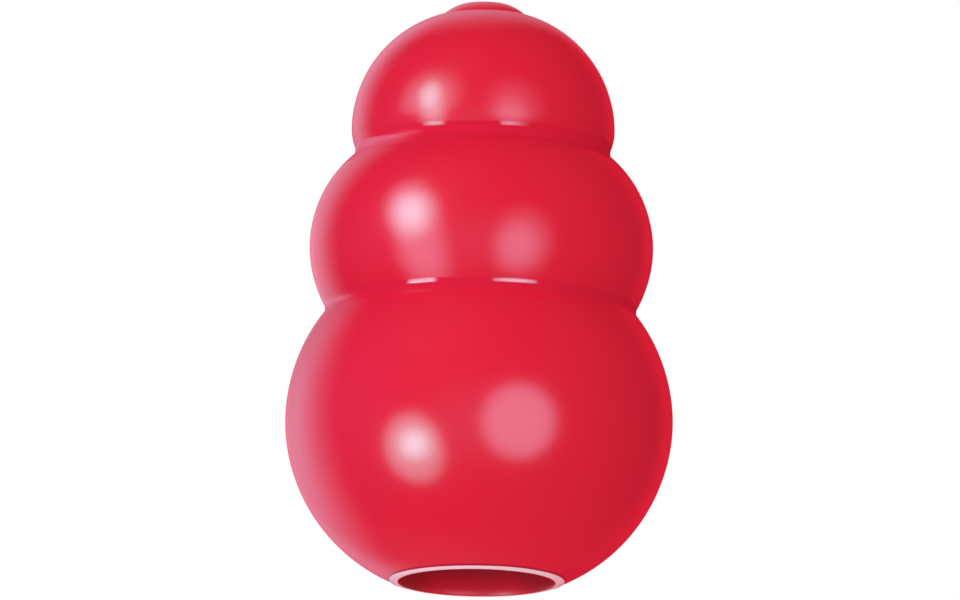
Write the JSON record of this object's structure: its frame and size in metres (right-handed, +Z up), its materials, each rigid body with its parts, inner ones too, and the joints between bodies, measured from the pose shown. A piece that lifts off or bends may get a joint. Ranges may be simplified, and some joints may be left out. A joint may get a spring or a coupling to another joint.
{
  "type": "rubber chew toy",
  "caption": "Hollow rubber chew toy of stacked bulbs that taper from a wide base with a round stuffing mouth to a small vented collar; it stands on the ring round its mouth.",
  "frame": {"origin": "on the axis, in the plane of the foot ring round the mouth", "axes": "+Z up along the toy's axis towards the vent; the toy is round, so X and Y are free, and -Y is the side that the picture shows"},
  "size_m": [0.0674, 0.0674, 0.1023],
  "materials": {
    "red_rubber": "glossy red moulded natural rubber, coloured through"
  },
  "bodies": {
    "root": {"base_bulb": "red_rubber", "middle_bulb": "red_rubber", "top_bulb": "red_rubber", "vent_collar": "red_rubber"}
  },
  "joints": []
}
